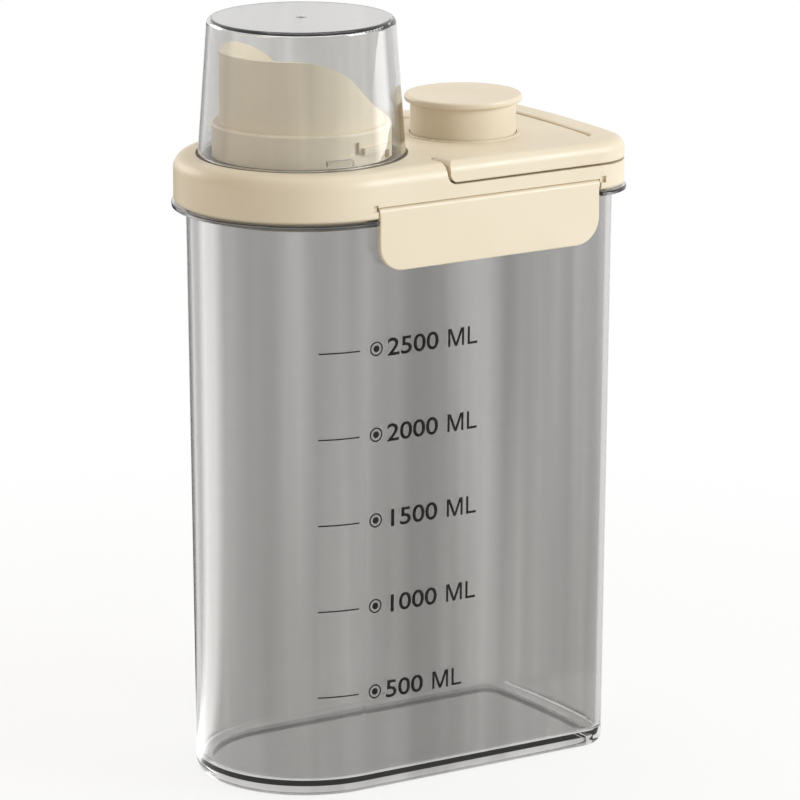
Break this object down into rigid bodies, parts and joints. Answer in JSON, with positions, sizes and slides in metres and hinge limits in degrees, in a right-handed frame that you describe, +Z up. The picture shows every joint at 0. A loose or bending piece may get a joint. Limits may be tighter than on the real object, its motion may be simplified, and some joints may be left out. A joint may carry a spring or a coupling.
{
  "type": "rice bucket",
  "caption": "Clear tall tub for grain with a clamped lid, a pour spout under a clear measuring cup, a fold-down carrying handle and a press pump knob.",
  "frame": {"origin": "centre of the footprint at the level of the base", "axes": "+Z up, -Y towards the front with the visible latch, -X towards the round spout end, +X towards the square knob end"},
  "size_m": [0.187, 0.108, 0.3154],
  "materials": {
    "clear_plastic": "clear glossy moulded plastic",
    "beige_plastic": "satin moulded plastic",
    "silicone": "soft matte silicone",
    "steel": "drawn wire"
  },
  "bodies": {
    "tub": {"tub": "clear_plastic"},
    "lid": {"lid_shell": "beige_plastic", "lid_liner": "beige_plastic", "lid_gasket": "silicone", "spout": "beige_plastic", "spout_gasket": "silicone", "knob_collar": "beige_plastic", "pump_cylinder": "beige_plastic", "check_valve": "silicone", "pump_spring": "steel", "handle_pins": "steel", "latch_pins": "steel"},
    "cup_ring": {"cup_seal": "silicone"},
    "cup": {"measuring_cup": "clear_plastic"},
    "handle": {"carry_handle": "beige_plastic"},
    "pump": {"pump_knob": "beige_plastic", "pump_piston": "beige_plastic", "piston_ring": "silicone"},
    "front_latch": {"front_latch": "beige_plastic"},
    "back_latch": {"back_latch": "beige_plastic"}
  },
  "joints": [
    {"name": "lid_lift", "type": "slide", "parent": "tub", "child": "lid", "axis": [0, 0, 1], "range_m": [0, 0.06]},
    {"name": "cup_turn", "type": "hinge", "parent": "lid", "child": "cup_ring", "pos_m": [-0.04053, 0, 0.26], "axis": [0, 0, 1], "range_deg": [0, 30]},
    {"name": "cup_lift", "type": "slide", "parent": "cup_ring", "child": "cup", "axis": [0, 0, 1], "range_m": [0, 0.07]},
    {"name": "handle_swing", "type": "hinge", "parent": "lid", "child": "handle", "pos_m": [0.00117, 0, 0.256], "axis": [0, -1, 0], "range_deg": [0, 85]},
    {"name": "pump_press", "type": "slide", "parent": "lid", "child": "pump", "axis": [0, 0, -1], "range_m": [0, 0.012], "stiffness_N_per_m": 400, "springref_m": -0.01, "deforming": ["pump_spring"]},
    {"name": "front_latch_swing", "type": "hinge", "parent": "lid", "child": "front_latch", "pos_m": [0.0166, -0.0511, 0.2436], "axis": [-1, 0, 0], "range_deg": [0, 88]},
    {"name": "back_latch_swing", "type": "hinge", "parent": "lid", "child": "back_latch", "pos_m": [0.0166, 0.0511, 0.2436], "axis": [1, 0, 0], "range_deg": [0, 88]}
  ]
}
